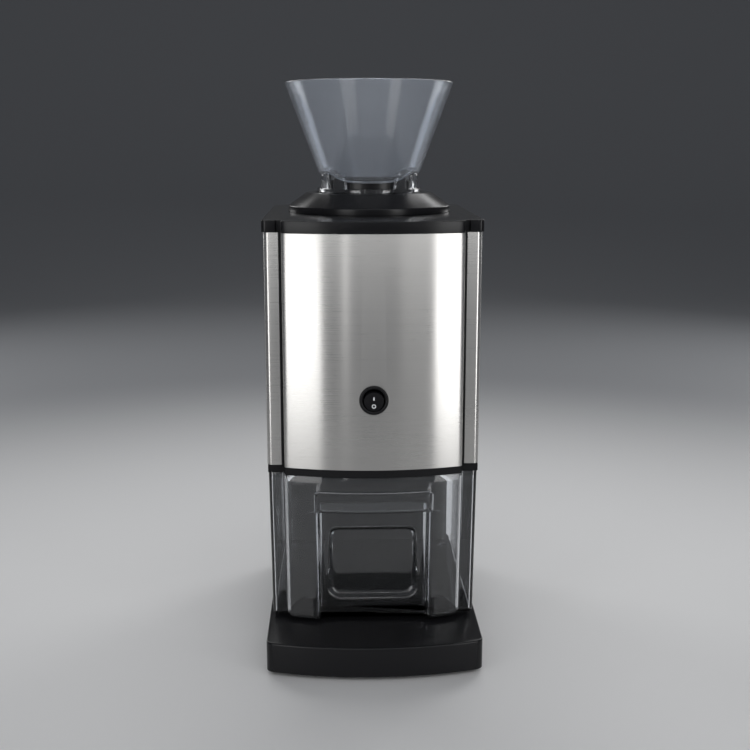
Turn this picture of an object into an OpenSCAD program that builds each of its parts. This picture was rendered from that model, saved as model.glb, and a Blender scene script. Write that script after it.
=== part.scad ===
// Electric ice crusher: a loose funnel hopper over an upright crushing drum, a steel-clad
// housing with a motor and a two-stage gearbox, and a clear drawer under it that
// catches the ice. The origin is on the table, under the middle of the whole machine;
// the front faces -Y.

/* [Overall] */
// Width over the top cover
cover_w = 172; // [168:1:178]
// Depth from the nose of the base to the back of the top cover
total_d = 272; // [268:1:280]
// Height of the hopper rim above the table
total_h = 460; // [450:1:480]

/* [Base] */
// Width of the base
base_w = 170; // [166:1:172]
// Height of the rubber feet
foot_h = 4; // [3:0.5:6]
// Height of the base shell
base_h = 24; // [20:1:26]
// Wall thickness of the plastic shells
wall = 3; // [2.5:0.1:3.5]
// Radius of the curved nose of the base
nose_r = 280; // [240:10:400]
// Radius of the corners of the base
base_corner_r = 14; // [8:1:18]

/* [Housing] */
// Depth of the housing, from its back to its front corners
housing_d = 212; // [208:1:216]
// How far the middle of the front stands ahead of the corners
front_bulge = 19.5; // [17:0.5:21]
// Radius of the curved front
front_r = 222; // [210:1:260]
// Half the width of the curved front
front_half_w = 70.5; // [69:0.5:71]
// Height of the steel panels
steel_h = 184.6; // [180:0.2:190]
// Thickness of the steel sheet
steel_t = 0.8; // [0.6:0.1:1]
// Height of the top cover
cover_h = 9.3; // [8:0.1:11]
// Outer radius of the collar
collar_r = 69; // [66:1:72]
// Height of the collar
collar_h = 16.4; // [15:0.2:18]

/* [Container] */
// Height of the ice container with its feet
container_h = 123.8; // [120:0.2:124]
// Depth of the ice container
container_d = 201; // [190:1:203]
// Wall thickness of the ice container
container_t = 2.6; // [2:0.1:3]
// Half the width of the grip niche
niche_half_w = 43; // [38:1:46]
// Depth of the grip niche
niche_d = 29; // [20:1:32]
// Height of the band over the grip niche
niche_band_h = 31; // [24:1:36]

/* [Hopper] */
// Radius of the hopper rim
rim_r = 71.2; // [66:0.2:74]
// Radius of the hopper where the cone meets the neck
neck_r = 43.6; // [43:0.2:46]
// Wall thickness of the hopper
hopper_t = 2.3; // [1.8:0.1:2.6]

/* [Drive] */
// Teeth on each pinion
pinion_teeth = 17; // [17:1:19]
// Teeth on each large gear
gear_teeth = 68; // [64:1:70]
// Module of the fast gears
fast_module = 0.8; // [0.7:0.05:0.8]
// Module of the slow gears
slow_module = 1.1; // [1:0.05:1.1]
// Play between meshing teeth
backlash = 0.2; // [0.1:0.05:0.3]
// Distance from the hopper axis to the motor axis
motor_offset = 45; // [44:1:46]

/* [Switch] */
// Height of the switch above the table
switch_z = 215; // [205:1:225]
// Radius of the switch bezel
bezel_r = 11.5; // [11:0.5:13]
// Tilt of the rocker each side of the middle
rocker_tilt = 9; // [6:1:10]

/* [Hidden] */
$fn = 96;
e = 0.01;
gap = 0.3;
fit = 0.05;

front_y = -total_d / 2;
back_y = total_d / 2;
corner_y = back_y - housing_d;
bulge_y = corner_y - front_bulge;
base_top = foot_h + base_h;
container_z = base_top + gap;
tray_z = container_z + container_h + gap;
tray_t = 6;
steel_z = tray_z + tray_t;
cover_z = steel_z + steel_h;
collar_z = cover_z + cover_h;
collar_top = collar_z + collar_h;

steel_half_w = cover_w / 2 - 1.5;
panel_back_y = back_y - 4.5;
back_cover_t = 2.5;
column_half_w = 78;
column_y = back_y - 24;
axis_y = 37;

spigot_r = 41.4;
drum_r = 46;
drum_t = 3;
drum_top = collar_z - 7.3;
drum_z = drum_top - 59;
neck_floor_t = 2;
neck_ring_t = 2.3;
neck_ring_h = 8;
neck_gap = 5.9;
spigot_clear = 0.6;
blade_clear = 0.7;
hopper_plunger_x = spigot_r + 1.3;
hopper_plunger_z = drum_top + 4.4;
hopper_plunger_l = 6.3;
drum_floor_t = 4;
flange_r = 56;
flange_t = 3;
shaft_r = 5;
bush_r = 8;
plate_t = 3;

gearbox_z = drum_z - 34;
fast_z = gearbox_z + 5;
fast_h = 8;
slow_z = gearbox_z + 16;
slow_h = 12;
fast_distance = fast_module * (pinion_teeth + gear_teeth) / 2;
slow_distance = slow_module * (pinion_teeth + gear_teeth) / 2;
crusher_axis = [0, axis_y];
motor_axis = [0, axis_y + motor_offset];
idler_along = (slow_distance * slow_distance - fast_distance * fast_distance
    + motor_offset * motor_offset) / (2 * motor_offset);
idler_side = sqrt(slow_distance * slow_distance - idler_along * idler_along);
idler_axis = [idler_side, axis_y + idler_along];
slow_line = atan2(idler_along, idler_side);
fast_line = atan2(motor_axis[1] - idler_axis[1], motor_axis[0] - idler_axis[0]);
idler_slow_phase = mesh_phase(slow_line, 0, gear_teeth, pinion_teeth);
motor_phase = mesh_phase(fast_line, 0, gear_teeth, pinion_teeth);
axle_r = 3;

motor_r = 33;
motor_z = gearbox_z - 74;
motor_h = 68;
motor_shaft_r = 2.5;
motor_bush_r = 5;
motor_screw_angles = [100, 180, 250];
motor_screw_ring = 20;

chute_half_w = 30;
chute_front = corner_y + 12;
chute_back = chute_front + 44;
chute_t = 2.5;
chute_top = drum_z + 32;
outlet_half_w = 27;
outlet_h = 22;

switch_body_r = 9.8;
rocker_cavity_r = 9;
rocker_r = 7.7;
pivot_y = bulge_y + 4;
microswitch = [20, 6.4, 10];
plunger_r = 1.2;
container_switch_z = 120;
screw_r = 1.5;
foot_x = 66;
foot_front_y = front_y + 26;
foot_back_y = back_y - 22;
gland_z = 52;

// ---- shared shapes ----

// Angle in degrees between the start of an involute and its point at radius r
function involute_angle(base_r, r) =
    let (a = acos(min(1, base_r / r))) tan(a) * 180 / PI - a;

// Phase of gear b that sets its gap against the tooth of gear a on the line between them
function mesh_phase(line, phase_a, teeth_a, teeth_b) =
    line + 180 - 360 / teeth_b * ((phase_a - line) * teeth_a / 360 + 0.5);

// Outline of an involute gear, four points on each flank
function gear_outline(m, teeth) =
    let (
        pitch_r = m * teeth / 2,
        base_r = pitch_r * cos(20),
        root_r = pitch_r - 1.25 * m,
        tip_r = pitch_r + 0.95 * m,
        low_r = max(base_r, root_r + 0.1 * m),
        half = 90 / teeth - backlash / 4 / pitch_r * 180 / PI + involute_angle(base_r, pitch_r),
        root_half = half - involute_angle(base_r, low_r),
        flank = [for (i = [0:3]) low_r + (tip_r - low_r) * i / 3]
    )
    [for (tooth = [0:teeth - 1]) each concat(
        [polar(root_r, tooth * 360 / teeth - root_half)],
        [for (r = flank) polar(r, tooth * 360 / teeth - half + involute_angle(base_r, r))],
        [for (i = [3:-1:0]) polar(flank[i], tooth * 360 / teeth + half - involute_angle(base_r, flank[i]))],
        [polar(root_r, tooth * 360 / teeth + root_half)]
    )];

function polar(r, angle) = [r * cos(angle), r * sin(angle)];

module gear(m, teeth, z, h, phase) {
    translate([0, 0, z]) rotate([0, 0, phase])
        linear_extrude(h) polygon(gear_outline(m, teeth));
}

// Upright ring or, with no inner radius, a disc
module ring(outer, inner, z, h) {
    translate([0, 0, z]) difference() {
        cylinder(r = outer, h = h);
        if (inner > 0) translate([0, 0, -1]) cylinder(r = inner, h = h + 2);
    }
}

module at_crusher() { translate([crusher_axis[0], crusher_axis[1], 0]) children(); }
module at_idler() { translate([idler_axis[0], idler_axis[1], 0]) children(); }
module at_motor() { translate([motor_axis[0], motor_axis[1], 0]) children(); }
module both_sides() { for (side = [-1, 1]) scale_x(side) children(); }
module scale_x(side) { if (side < 0) mirror([1, 0, 0]) children(); else children(); }

// Box from its lowest corner to its highest
module span(low, high) { translate(low) cube(high - low); }

// Block with the curved front of the housing
module bulged_block(half_w, front, back, z, h) {
    intersection() {
        translate([0, front + front_r, z]) cylinder(r = front_r, h = h, $fn = 360);
        span([-half_w, front - 1, z], [half_w, back, z + h]);
    }
}

// The housing in plan: a curved front between two set-back corners
module housing_block(half_w, inset, z, h) {
    union() {
        span([-half_w, corner_y + inset, z], [half_w, panel_back_y - inset, z + h]);
        bulged_block(front_half_w - inset, bulge_y + inset, corner_y + 2 * wall, z, h);
    }
}

module base_plan(inset) {
    offset(delta = -inset) offset(r = base_corner_r) offset(delta = -base_corner_r)
        intersection() {
            translate([0, front_y + nose_r]) circle(r = nose_r, $fn = 360);
            translate([-base_w / 2, front_y - 1]) square([base_w, total_d]);
        }
}

// Screw along +Z from the underside of its head
module screw(head_r, head_h, length) {
    translate([0, 0, -head_h]) difference() {
        cylinder(r = head_r, h = head_h, $fn = 32);
        for (turn = [0, 90]) rotate([0, 0, turn])
            translate([-head_r / 2, -0.4, -1]) cube([head_r, 0.8, 1 + head_h / 2]);
    }
    translate([0, 0, -e]) cylinder(r = screw_r, h = length, $fn = 32);
}

module at_feet() {
    for (x = [-foot_x, foot_x], y = [foot_front_y, foot_back_y]) translate([x, y, 0]) children();
}

module at_base_screws() {
    for (x = [-foot_x + 20, foot_x - 20], y = [foot_front_y, foot_back_y - 14])
        translate([x, y, 0]) children();
}

// ---- base and column ----

module base_shell() {
    color("#1c1c1e") {
        difference() {
            translate([0, 0, foot_h]) linear_extrude(base_h) base_plan(0);
            translate([0, 0, foot_h - 1]) linear_extrude(base_h - wall + 1) base_plan(wall);
            translate([0, gland_y(), base_top - wall - 1]) cylinder(r = 5, h = wall + 2);
        }
        at_base_screws() ring(4, screw_r + 0.1, foot_h + 2.6, base_h - wall - 2.6 + e);
    }
}

function gland_y() = back_y - 14;

module base_bottom_plate() {
    color("#202022") difference() {
        translate([0, 0, foot_h]) linear_extrude(2.5) base_plan(wall + 0.1);
        at_feet() translate([0, 0, foot_h - 1]) cylinder(r = 2.5, h = 5);
        at_base_screws() translate([0, 0, foot_h - 1]) cylinder(r = screw_r + 0.1, h = 5);
        for (i = [-3:3]) span([-24, i * 9 - 1.5, foot_h - 1], [24, i * 9 + 1.5, foot_h + 4]);
    }
}

module rubber_feet() {
    color("#2b2b2d") at_feet() {
        cylinder(r1 = 7, r2 = 8, h = 1);
        translate([0, 0, 1 - e]) cylinder(r = 8, h = foot_h - 1 + e);
        translate([0, 0, foot_h - e]) cylinder(r = 2.4, h = 4);
    }
}

module base_screws() {
    color("silver") at_base_screws() translate([0, 0, foot_h]) screw(2.9, 1.8, 14);
}

module rear_column() {
    color("#1c1c1e") difference() {
        span([-column_half_w, column_y, base_top], [column_half_w, panel_back_y, tray_z]);
        span([-column_half_w + wall, column_y + wall, base_top + wall],
            [column_half_w - wall, panel_back_y + 1, tray_z - wall]);
        translate([0, column_y - 1, container_switch_z]) rotate([-90, 0, 0])
            cylinder(r = plunger_r + 0.1, h = wall + 2, $fn = 32);
        translate([0, gland_y(), base_top - 1]) cylinder(r = 5, h = wall + 2);
        span([-20, column_y + wall + 8, tray_z - wall - 1], [20, panel_back_y + 1, tray_z + 1]);
    }
    color("#1c1c1e") at_column_screws() rotate([90, 0, 0]) ring(3.6, screw_r + 0.1, 0,
        panel_back_y - column_y - wall + e);
}

module at_column_screws() {
    both_sides() for (z = [base_top + 12, tray_z - 16])
        translate([column_half_w - 12, panel_back_y, z]) children();
}

module at_housing_screws() {
    both_sides() for (z = [steel_z + 14, cover_z - 16])
        translate([steel_half_w - 8.5, panel_back_y, z]) children();
}

module back_cover() {
    slot_w = 84;
    color("#1c1c1e") difference() {
        union() {
            span([-steel_half_w + 1, panel_back_y, steel_z - 6],
                [steel_half_w - 1, panel_back_y + back_cover_t, cover_z - 0.2]);
            span([-column_half_w, panel_back_y, base_top + 0.2],
                [column_half_w, panel_back_y + back_cover_t, steel_z]);
        }
        for (i = [0:9]) span([-slot_w / 2, panel_back_y - 1, steel_z + 24 + i * 8],
            [slot_w / 2, panel_back_y + 4, steel_z + 27 + i * 8]);
        translate([0, panel_back_y - 1, gland_z]) rotate([-90, 0, 0]) cylinder(r = 6, h = 5);
        at_housing_screws() rotate([-90, 0, 0])
            translate([0, 0, -1]) cylinder(r = screw_r + 0.1, h = 5);
        at_column_screws() rotate([-90, 0, 0])
            translate([0, 0, -1]) cylinder(r = screw_r + 0.1, h = 5);
    }
}

module cord_gland() {
    color("#2b2b2d") translate([0, panel_back_y, gland_z]) rotate([-90, 0, 0]) {
        ring(5.9, 3.6, -3, back_cover_t + 3 + e);
        ring(8, 3.6, back_cover_t, 2);
        ring(7.4, 3.6, -3, 2.9);
    }
}

module case_screws() {
    color("silver") {
        at_housing_screws() translate([0, back_cover_t, 0]) rotate([90, 0, 0]) screw(2.9, 1.8, 11);
        at_column_screws() translate([0, back_cover_t, 0]) rotate([90, 0, 0]) screw(2.9, 1.8, 11);
    }
}

// ---- housing ----

module chassis_tray() {
    post_h = steel_h - 0.2;
    color("#161617") {
        difference() {
            housing_block(steel_half_w - 0.6, 0.5, tray_z, tray_t);
            span([-chute_half_w, chute_front, tray_z - 1], [chute_half_w, chute_back, steel_z + 1]);
            span([-20, column_y + wall + 8, tray_z - 1], [20, panel_back_y - 4, steel_z + 1]);
        }
        both_sides() {
            span([front_half_w - 2.5, corner_y - 4, steel_z - e],
                [front_half_w + 1.8, corner_y + 9, steel_z + post_h]);
            difference() {
                span([steel_half_w - 13, panel_back_y - 12, steel_z - e],
                    [steel_half_w - 4, panel_back_y - 0.1, steel_z + post_h]);
                at_right_post_screws() cylinder(r = screw_r + 0.1, h = 30, center = true, $fn = 32);
            }
        }
    }
}

module at_right_post_screws() {
    for (z = [steel_z + 14, cover_z - 16])
        translate([steel_half_w - 8.5, panel_back_y, z]) rotate([90, 0, 0]) children();
}

module front_panel() {
    color("#c9c9c7") difference() {
        bulged_block(front_half_w, bulge_y, corner_y - 4.2, steel_z + 0.1, steel_h - 0.2);
        bulged_block(front_half_w - steel_t, bulge_y + steel_t, corner_y, steel_z - 1, steel_h + 2);
        translate([0, bulge_y - 1, switch_z]) rotate([-90, 0, 0]) cylinder(r = 10, h = 4);
    }
}

module side_panel() {
    bend_r = 4;
    strip_x = front_half_w + 2.1;
    z = steel_z + 0.1;
    h = steel_h - 0.2;
    color("#c2c2c0") {
        span([strip_x, corner_y, z], [steel_half_w - bend_r + e, corner_y + steel_t, z + h]);
        translate([steel_half_w - bend_r, corner_y + bend_r, z]) rotate([0, 0, -90])
            rotate_extrude(angle = 90) translate([bend_r - steel_t, 0]) square([steel_t, h]);
        span([steel_half_w - steel_t, corner_y + bend_r - e, z],
            [steel_half_w, panel_back_y + back_cover_t, z + h]);
    }
}

module left_side_panel() { mirror([1, 0, 0]) side_panel(); }
module right_side_panel() { side_panel(); }

module top_cover() {
    half_w = cover_w / 2;
    block_w = 11.5;
    color("#1c1c1e") difference() {
        union() {
            span([-half_w, corner_y, cover_z], [half_w, back_y, collar_z]);
            bulged_block(front_half_w, bulge_y - 0.5, corner_y + 2 * wall, cover_z, cover_h);
        }
        both_sides() span([half_w - block_w - 3.5, corner_y - 1, cover_z - 1],
            [half_w - block_w, corner_y + 2, collar_z + 1]);
        span([-half_w + wall, corner_y + wall, cover_z - 1],
            [half_w - wall, back_y - wall, collar_z - wall]);
        bulged_block(front_half_w - wall, bulge_y + wall, corner_y + 2 * wall,
            cover_z - 1, cover_h - wall + 1);
        at_crusher() translate([0, 0, collar_z - wall - 1]) cylinder(r = 58, h = wall + 2);
    }
}

module hopper_collar() {
    top_r = 53.3;
    lip = 5.4;
    bore_r = spigot_r + 0.6;
    neck_ring_r = spigot_r - neck_gap;
    neck_ring_top = collar_top + neck_ring_h;
    color("#1c1c1e") difference() {
        union() {
            at_crusher() rotate_extrude() polygon([
                [neck_ring_r - neck_ring_t, drum_top], [neck_ring_r - neck_ring_t, neck_ring_top],
                [neck_ring_r, neck_ring_top], [neck_ring_r, drum_top + neck_floor_t],
                [bore_r, drum_top + neck_floor_t], [bore_r, collar_top], [top_r, collar_top],
                [collar_r, collar_z + lip], [collar_r, collar_z], [collar_r - wall, collar_z],
                [collar_r - wall, collar_z + lip - 1.6], [top_r - 1, collar_top - wall],
                [bore_r + 2.5, collar_top - wall], [bore_r + 2.5, drum_top]
            ]);
            at_drum_screws() ring(4, screw_r + 0.1, drum_top, collar_top - drum_top - 2.7);
        }
        translate([0, axis_y, hopper_plunger_z]) rotate([0, 90, 0])
            cylinder(r = plunger_r + 0.1, h = 50, $fn = 32);
    }
}

// ---- crushing drum and chute ----

module at_drum_screws() {
    at_crusher() for (turn = [45:90:315]) rotate([0, 0, turn])
        translate([drum_r + 5, 0, 0]) children();
}

module crusher_drum() {
    color("#b9bbbd") difference() {
        union() {
            at_crusher() {
                ring(drum_r, drum_r - drum_t, drum_z, drum_top - drum_z);
                ring(drum_r - drum_t + e, bush_r + 0.1, drum_z, drum_floor_t);
                ring(flange_r, drum_r - e, drum_top - flange_t, flange_t);
            }
            span([-outlet_half_w - 2, chute_back + chute_t + 0.2, drum_z + 2],
                [outlet_half_w + 2, axis_y - 36, drum_z + outlet_h + 6]);
        }
        span([-outlet_half_w, chute_back, drum_z + drum_floor_t],
            [outlet_half_w, axis_y - 20, drum_z + drum_floor_t + outlet_h]);
        at_crusher() translate([0, 0, drum_z + drum_floor_t])
            cylinder(r = drum_r - drum_t, h = drum_top - drum_z);
        at_drum_screws() translate([0, 0, drum_top - 10]) cylinder(r = screw_r + 0.1, h = 12);
    }
}

module fixed_blades() {
    blade_r = drum_r - drum_t - blade_clear;
    color("#d4d5d6") at_crusher() for (level = [14, 26], turn = [30, 150])
        rotate([0, 0, turn]) translate([0, 0, drum_z + level])
            linear_extrude(3) polygon([[16, -1], [19, -3], [blade_r, -6], [blade_r, 4], [19, 2]]);
}

module shaft_seal() {
    color("#2b2b2d") at_crusher() ring(bush_r, shaft_r + fit, drum_z + 2.2, 1.8);
}

module drum_screws() {
    color("silver") at_drum_screws() translate([0, 0, drum_top - flange_t]) screw(2.9, 1.8, 15);
}

module ice_chute() {
    slope_y = 34;
    color("#3a3b3d") difference() {
        chute_solid(0, chute_profile(slope_y));
        chute_solid(chute_t, chute_inner_profile(slope_y));
        span([-outlet_half_w - 2.2, chute_back - 1, drum_z + 1.8],
            [outlet_half_w + 2.2, chute_back + chute_t + 1, drum_z + outlet_h + 6.2]);
    }
}

function chute_profile(slope_y) = [
    [chute_front - chute_t, steel_z], [chute_back + chute_t, steel_z],
    [chute_back + chute_t, chute_top], [chute_front + slope_y, chute_top],
    [chute_front - chute_t, chute_top - 46]
];

function chute_inner_profile(slope_y) = [
    [chute_front, steel_z - 1], [chute_back, steel_z - 1],
    [chute_back, chute_top - chute_t], [chute_front + slope_y + 1.5, chute_top - chute_t],
    [chute_front, chute_top - 46 - 1]
];

module chute_solid(inset, profile) {
    half = chute_half_w + chute_t - inset;
    translate([-half, 0, 0]) rotate([90, 0, 90]) linear_extrude(2 * half) polygon(profile);
}

// ---- gearbox ----

module gearbox_plan(inset) {
    hull() {
        translate(crusher_axis) circle(r = 42 - inset, $fn = 48);
        translate(idler_axis) circle(r = 33 - inset, $fn = 48);
        translate(motor_axis) circle(r = 28 - inset, $fn = 48);
    }
}

module gearbox_housing() {
    color("#8f9396") difference() {
        translate([0, 0, gearbox_z]) linear_extrude(31) gearbox_plan(0);
        translate([0, 0, gearbox_z + plate_t]) linear_extrude(40) gearbox_plan(plate_t);
        at_crusher() translate([0, 0, gearbox_z - 1]) cylinder(r = bush_r, h = 6);
        at_motor() translate([0, 0, gearbox_z - 1]) cylinder(r = 6, h = 6);
        at_idler() translate([0, 0, gearbox_z - 1]) cylinder(r = axle_r, h = 6);
        at_motor_screws() translate([0, 0, gearbox_z - 1]) cylinder(r = screw_r + 0.1, h = 6);
    }
}

module gearbox_cover() {
    color("#9a9ea1") difference() {
        translate([0, 0, gearbox_z + 31]) linear_extrude(plate_t) gearbox_plan(0);
        at_crusher() translate([0, 0, gearbox_z + 30]) cylinder(r = bush_r, h = 6);
        at_idler() translate([0, 0, gearbox_z + 30]) cylinder(r = axle_r, h = 6);
    }
}

module shaft_bushes() {
    color("#b08d57") at_crusher() {
        ring(bush_r, shaft_r + fit, gearbox_z, 4);
        ring(bush_r, shaft_r + fit, gearbox_z + 30, 6);
    }
}

module idler_axle() {
    color("#9c9ea0") at_idler() translate([0, 0, gearbox_z])
        cylinder(r = axle_r, h = drum_z - gearbox_z - 0.2);
}

module idler_clip() {
    gear_top = slow_z + slow_h;
    color("#6f7275") at_idler() difference() {
        ring(5.4, axle_r, gear_top + 0.7, 0.9);
        span([-2, 0, gear_top], [2, 8, gear_top + 2]);
    }
}

module output_gear() {
    color("#d8d3c2") at_crusher() difference() {
        union() {
            gear(slow_module, gear_teeth, slow_z, slow_h, 0);
            ring(10, 0, slow_z - 1, slow_h + 2.4);
        }
        translate([0, 0, slow_z - 2]) cylinder(r = shaft_r, h = slow_h + 6);
        for (turn = [0:60:300]) rotate([0, 0, turn]) translate([22, 0, slow_z - 1])
            cylinder(r = 6.5, h = slow_h + 2);
    }
}

module idler_gear() {
    color("#d8d3c2") at_idler() difference() {
        union() {
            gear(fast_module, gear_teeth, fast_z, fast_h, 0);
            gear(slow_module, pinion_teeth, fast_z + fast_h - e, slow_z + slow_h - fast_z - fast_h,
                idler_slow_phase);
        }
        translate([0, 0, fast_z - 1]) cylinder(r = axle_r + fit, h = 40);
    }
}

module motor_pinion() {
    color("#b08d57") at_motor() difference() {
        gear(fast_module, pinion_teeth, fast_z - 0.5, fast_h + 1, motor_phase);
        translate([0, 0, fast_z - 1]) cylinder(r = motor_shaft_r, h = fast_h + 2);
    }
}

// ---- motor ----

module at_motor_screws() {
    at_motor() for (turn = motor_screw_angles) rotate([0, 0, turn])
        translate([motor_screw_ring, 0, 0]) children();
}

module motor_can() {
    color("#85898c") at_motor() difference() {
        cylinder_z(motor_r, motor_z, motor_h);
        cylinder_z(motor_r - 1.5, motor_z + 2, motor_h);
        cylinder_z(motor_bush_r, motor_z - 1, 4);
        for (turn = [0:60:300]) rotate([0, 0, turn])
            translate([20, 0, motor_z - 1]) cylinder(r = 5, h = 4);
    }
}

module cylinder_z(r, z, h) { translate([0, 0, z]) cylinder(r = r, h = h); }

module motor_end_cap() {
    color("#6f7275") difference() {
        at_motor() ring(motor_r, motor_bush_r, motor_z + motor_h, 6);
        at_motor_screws() cylinder_z(screw_r, motor_z + motor_h - 1, 8);
    }
}

module motor_bushes() {
    color("#b08d57") at_motor() {
        ring(motor_bush_r, motor_shaft_r + fit, motor_z, 3.5);
        ring(motor_bush_r, motor_shaft_r + fit, motor_z + motor_h - 0.5, 6.4);
    }
}

module field_stack() {
    color("#5c5f63") at_motor() ring(motor_r - 1.6, 25.5, motor_z + 16, 40);
}

module motor_screws() {
    color("silver") at_motor_screws() translate([0, 0, gearbox_z + plate_t])
        rotate([180, 0, 0]) screw(2.9, 1.8, 8.5);
}

module motor_shaft() {
    color("#c4c6c8") at_motor() cylinder_z(motor_shaft_r, motor_z - 1, fast_z + fast_h + 2 - motor_z);
}

module armature() {
    color("#7a4a2c") at_motor() {
        ring(24.8, motor_shaft_r, motor_z + 18, 36);
        ring(10, motor_shaft_r, motor_z + 54 - e, 10);
    }
}

module cooling_fan() {
    color("#2f3133") at_motor() {
        ring(6, motor_shaft_r, motor_z + 5, 8);
        ring(28, motor_shaft_r, motor_z + 11.5, 1.5);
        for (turn = [0:45:315]) rotate([0, 0, turn]) translate([5.5, -0.7, motor_z + 5])
            cube([22, 1.4, 7]);
    }
}

// ---- crusher rotor ----

module crusher_shaft() {
    color("#c4c6c8") at_crusher() cylinder_z(shaft_r, gearbox_z + 0.5, drum_z + 50 - gearbox_z);
}

module rotor_blades() {
    color("#dcdddd") at_crusher() difference() {
        union() {
            cylinder_z(11, drum_z + 6.5, 36);
            for (level = [0:2], side = [0, 180]) rotate([0, 0, level * 60 + side + 20])
                translate([0, 0, drum_z + 7 + level * 12]) linear_extrude(4)
                    polygon([[8, -5], [36, -5], [40, -2], [36, 1], [26, 3], [8, 5]]);
        }
        cylinder_z(shaft_r, drum_z, 60);
    }
}

module rotor_nut() {
    color("#c4c6c8") at_crusher() difference() {
        union() {
            cylinder_z(9, drum_z + 42.6, 1.2);
            translate([0, 0, drum_z + 43.7]) cylinder(r = 8, h = 6, $fn = 6);
        }
        cylinder_z(shaft_r, drum_z + 40, 20);
    }
}

// ---- switch and interlocks ----

module switch_housing() {
    color("#151516") translate([0, 0, switch_z]) difference() {
        union() {
            translate([0, bulge_y - 2, 0]) rotate([-90, 0, 0])
                cylinder(r1 = bezel_r - 0.6, r2 = bezel_r, h = 0.8);
            translate([0, bulge_y - 1.2 - e, 0]) rotate([-90, 0, 0])
                cylinder(r = bezel_r, h = 1.2);
            translate([0, bulge_y - 0.1, 0]) rotate([-90, 0, 0])
                cylinder(r = switch_body_r, h = 21);
        }
        translate([0, bulge_y - 3, 0]) rotate([-90, 0, 0])
            cylinder(r = rocker_cavity_r, h = 13);
        translate([0, pivot_y, 0]) rotate([0, 90, 0])
            cylinder(r = 1 + fit, h = 30, center = true, $fn = 32);
    }
}

module switch_rocker() {
    front = 6.2;
    dish = 1.6;
    color("#0e0e0f") translate([0, pivot_y, switch_z]) rotate([rocker_tilt, 0, 0]) {
        intersection() {
            rotate([90, 0, 90]) translate([0, 0, -rocker_r]) linear_extrude(2 * rocker_r)
                polygon([[-front, rocker_r], [-front + dish, 0], [-front, -rocker_r],
                    [2, -rocker_r + 2], [3, 0], [2, rocker_r - 2]]);
            rotate([90, 0, 0]) cylinder(r = rocker_r, h = 20, center = true);
        }
        rotate([0, 90, 0]) cylinder(r = 1, h = 2 * switch_body_r - 0.8, center = true, $fn = 32);
    }
}

module switch_terminals() {
    color("#b08d57") for (z = [-5, 5]) span([-2.4, bulge_y + 20.9, switch_z + z - 0.4],
        [2.4, bulge_y + 28, switch_z + z + 0.4]);
}

module container_interlock() {
    y = column_y + wall;
    color("#151516") difference() {
        span([-microswitch[0] / 2, y, container_switch_z - microswitch[1] / 2],
            [microswitch[0] / 2, y + microswitch[2], container_switch_z + microswitch[1] / 2]);
        translate([0, y - 1, container_switch_z]) rotate([-90, 0, 0])
            cylinder(r = plunger_r + fit, h = 6.5, $fn = 32);
    }
    color("#b08d57") for (x = [-7, 0, 7]) span([x - 1.2, y + microswitch[2] - e, container_switch_z - 0.3],
        [x + 1.2, y + microswitch[2] + 4, container_switch_z + 0.3]);
}

module hopper_interlock() {
    x = spigot_r + 3.3 + 0.4;
    color("#151516") difference() {
        span([x, axis_y - microswitch[0] / 2, drum_top],
            [x + microswitch[2], axis_y + microswitch[0] / 2, drum_top + microswitch[1]]);
        translate([x - 1, axis_y, hopper_plunger_z]) rotate([0, 90, 0])
            cylinder(r = plunger_r + fit, h = 6.5, $fn = 32);
    }
}

module container_plunger() {
    color("#b8312c") translate([0, container_back() + 0.4, container_switch_z]) rotate([-90, 0, 0])
        cylinder(r = plunger_r, h = column_y + wall + 4 - container_back() - 0.4, $fn = 32);
}

module hopper_plunger() {
    color("#b8312c") translate([hopper_plunger_x, axis_y, hopper_plunger_z]) rotate([0, 90, 0])
        cylinder(r = plunger_r, h = hopper_plunger_l, $fn = 32);
}

// ---- loose parts ----

function container_front() = bulge_y + 2.5;
function container_back() = container_front() + container_d;

module container_block(inset, z, h) {
    half_w = steel_half_w - 0.8;
    span([-half_w + inset, corner_y + 2 + inset, z],
        [half_w - inset, container_back() - inset, z + h]);
    bulged_block(front_half_w - 1.5 - inset, container_front() + inset, corner_y + 10 + inset, z, h);
}

module ice_container() {
    foot = 1.2;
    floor_z = container_z + foot;
    top_z = container_z + container_h;
    niche_top = top_z - niche_band_h;
    niche_y = container_front() + niche_d;
    color("#d9e6ee", 0.35) {
        difference() {
            container_block(0, floor_z, top_z - floor_z);
            difference() {
                container_block(container_t, floor_z + container_t, container_h);
                span([-niche_half_w - container_t, container_front() - 1, floor_z],
                    [niche_half_w + container_t, niche_y + container_t, niche_top + container_t]);
            }
            span([-niche_half_w, container_front() - 1, floor_z - 1],
                [niche_half_w, niche_y, niche_top]);
        }
        both_sides() for (y = [corner_y + 14, container_back() - 12])
            translate([steel_half_w - 14, y, container_z]) cylinder(r = 4, h = foot + e);
    }
}

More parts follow.
